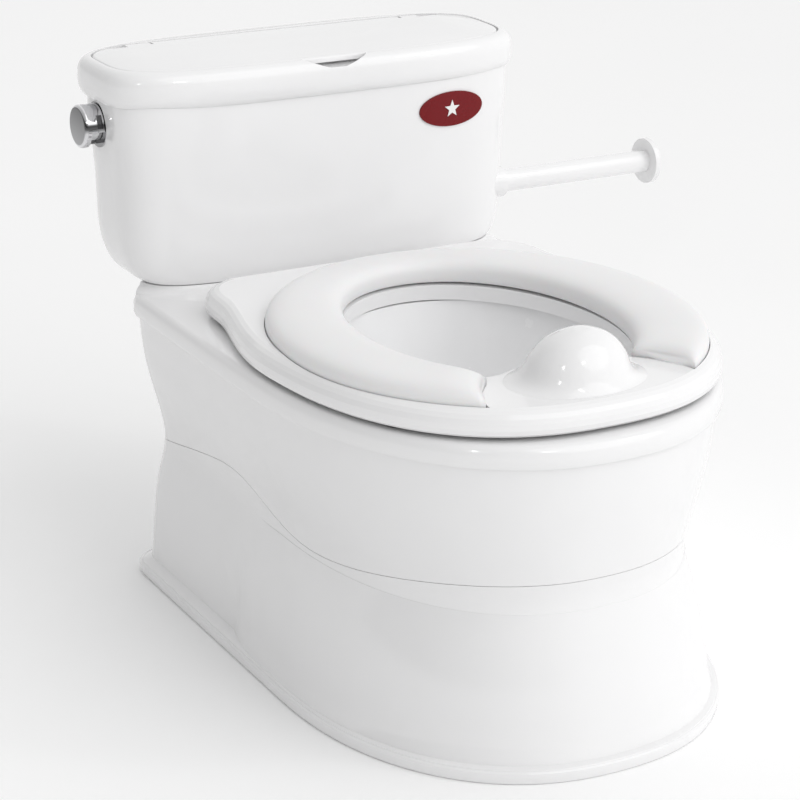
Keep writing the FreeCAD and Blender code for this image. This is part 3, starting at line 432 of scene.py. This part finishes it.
def floor_mesh():
    half = FLOOR_HALF
    mesh = bpy.data.meshes.new("floor")
    mesh.from_pydata([(-half, -half, 0), (half, -half, 0), (half, half, 0), (-half, half, 0)],
                     [], [(0, 1, 2, 3)])
    return mesh


floor = bpy.data.objects.new("floor", floor_mesh())
floor.location.z = -FLOOR_DROP
bpy.context.scene.collection.objects.link(floor)
floor.data.materials.append(plastic("floor_paper", (0.985, 0.985, 0.985), (0.7, 0.8), 0.004,
                                    broad=2.0, fine=80.0))

bpy.context.scene.view_settings.view_transform = "Standard"

# The surroundings' strength, the share of it left on the dim side, and the X directions between
# which they go from dim to full.
WORLD_STRENGTH = 0.94
WORLD_DIM = 0.34
WORLD_DIM_X, WORLD_FULL_X = -1.0, 0.25


def studio_world():
    """Even white surroundings that fall off towards -X, so that the gloss has something to show."""
    world = bpy.data.worlds.new("studio")
    world.use_nodes = True
    tree = world.node_tree
    place = tree.nodes.new("ShaderNodeTexCoord")
    axes = tree.nodes.new("ShaderNodeSeparateXYZ")
    share = tree.nodes.new("ShaderNodeMapRange")
    ramp = tree.nodes.new("ShaderNodeValToRGB")
    share.inputs["From Min"].default_value = WORLD_DIM_X
    share.inputs["From Max"].default_value = WORLD_FULL_X
    ramp.color_ramp.elements[0].color = (WORLD_DIM, WORLD_DIM, WORLD_DIM, 1.0)
    ramp.color_ramp.elements[1].color = (1.0, 1.0, 1.0, 1.0)
    tree.links.new(place.outputs["Generated"], axes.inputs["Vector"])
    tree.links.new(axes.outputs["X"], share.inputs["Value"])
    tree.links.new(share.outputs["Result"], ramp.inputs["Fac"])
    background = tree.nodes["Background"]
    tree.links.new(ramp.outputs["Color"], background.inputs["Color"])
    background.inputs["Strength"].default_value = WORLD_STRENGTH
    bpy.context.scene.world = world


studio_world()

KEY_AIM = (0.0, 0.0, 0.15)
BOX_AIM = (0.0, -0.05, 0.2)


def aimed(data, name, place, aim):
    """A light at a place, pointing at another."""
    obj = bpy.data.objects.new(name, data)
    obj.location = place
    obj.rotation_euler = (Vector(aim) - Vector(place)).to_track_quat("-Z", "Y").to_euler()
    bpy.context.scene.collection.objects.link(obj)


def sky_light(name, place, strength, degrees):
    """Even light from one side of the studio, the same all over the floor."""
    data = bpy.data.lights.new(name, "SUN")
    data.energy = strength
    data.angle = math.radians(degrees)
    aimed(data, name, place, KEY_AIM)


def soft_box(name, place, size, watts):
    """A small rectangular lamp, which the gloss shows as a highlight."""
    data = bpy.data.lights.new(name, "AREA")
    data.shape = "RECTANGLE"
    data.size, data.size_y = size
    data.energy = watts
    aimed(data, name, place, BOX_AIM)


sky_light("key", (0.7, -1.3, 1.5), 0.66, 60.0)
soft_box("left_box", (-1.3, -1.3, 1.2), (0.1, 0.3), 1.4)
soft_box("front_box", (-0.1, -1.7, 1.3), (0.25, 0.12), 1.4)
soft_box("right_box", (1.2, -1.0, 1.6), (0.15, 0.3), 1.6)

CAMERA_AZIMUTH = math.radians(-29.7)
CAMERA_ELEVATION = math.radians(20.5)
CAMERA_ROLL = math.radians(0.9)
CAMERA_AWAY = 1.7238
CAMERA_TARGET = Vector((0.0, 0.0, 0.1433))
CAMERA_LENS = 117.0
CAMERA_SENSOR = 36.0
CAMERA_SHIFT = 0.002
CAMERA_CLIP = 50.0


def make_camera():
    """The camera, placed by its directions back, right and up, with its roll about the view line."""
    level_away = math.cos(CAMERA_ELEVATION)
    back = Vector((math.sin(CAMERA_AZIMUTH) * level_away, -math.cos(CAMERA_AZIMUTH) * level_away,
                   math.sin(CAMERA_ELEVATION)))
    level = Vector((math.cos(CAMERA_AZIMUTH), math.sin(CAMERA_AZIMUTH), 0.0))
    upright = back.cross(level)
    right = math.cos(CAMERA_ROLL) * level + math.sin(CAMERA_ROLL) * upright
    up = math.cos(CAMERA_ROLL) * upright - math.sin(CAMERA_ROLL) * level
    data = bpy.data.cameras.new("camera")
    data.lens = CAMERA_LENS
    data.sensor_width = CAMERA_SENSOR
    data.shift_x = CAMERA_SHIFT
    data.clip_end = CAMERA_CLIP
    obj = bpy.data.objects.new("camera", data)
    place = CAMERA_TARGET + back * CAMERA_AWAY
    turn = Matrix((right, up, back)).transposed().to_4x4()
    obj.matrix_world = Matrix.Translation(place) @ turn
    bpy.context.scene.collection.objects.link(obj)
    bpy.context.scene.camera = obj


make_camera()
